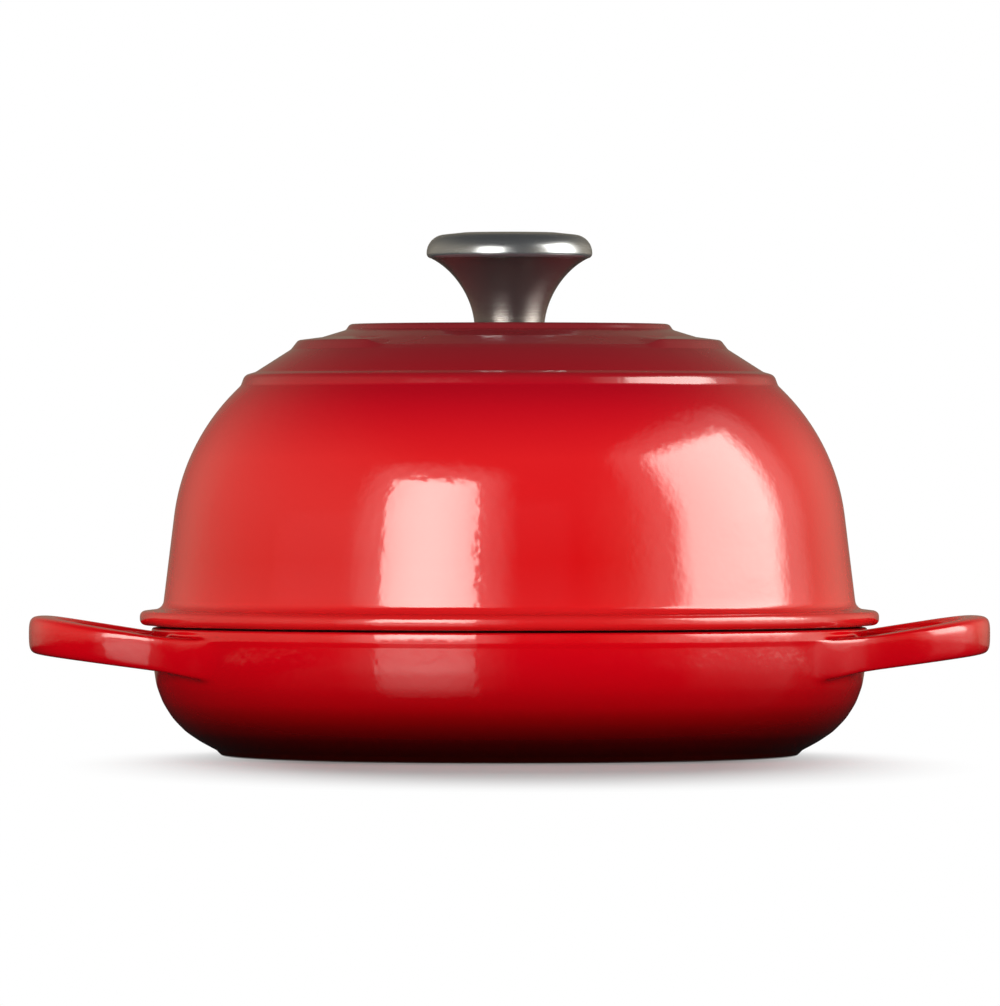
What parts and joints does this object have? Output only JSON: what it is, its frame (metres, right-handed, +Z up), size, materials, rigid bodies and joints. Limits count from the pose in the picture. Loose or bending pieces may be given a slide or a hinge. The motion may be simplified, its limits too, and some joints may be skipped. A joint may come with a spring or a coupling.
{
  "type": "bread pot",
  "caption": "Round enamelled cast-iron bread pot: shallow pan with loop handles and a tall domed lid with a steel knob, for baking a loaf in its own steam.",
  "frame": {"origin": "centre of the pan's foot, on the surface that it stands on", "axes": "+Z up along the axis of pan and lid, +X through the two handles, -Y to the front"},
  "size_m": [0.3358, 0.2584, 0.1829],
  "materials": {
    "pan_enamel": "glossy red enamel outside, matt black enamel inside",
    "lid_enamel": "glossy red enamel outside, matt black enamel inside",
    "knob_steel": "satin stainless steel",
    "fastener_steel": "plain stainless steel"
  },
  "bodies": {
    "base": {"base_pan": "pan_enamel"},
    "lid": {"dome_lid": "lid_enamel", "knob_cap": "knob_steel", "knob_stem": "knob_steel", "knob_insert": "fastener_steel", "knob_screw": "fastener_steel", "screw_washer": "fastener_steel"}
  },
  "joints": [
    {"name": "lid_lift", "type": "slide", "parent": "base", "child": "lid", "axis": [0, 0, 1], "range_m": [0, 0.16]}
  ]
}
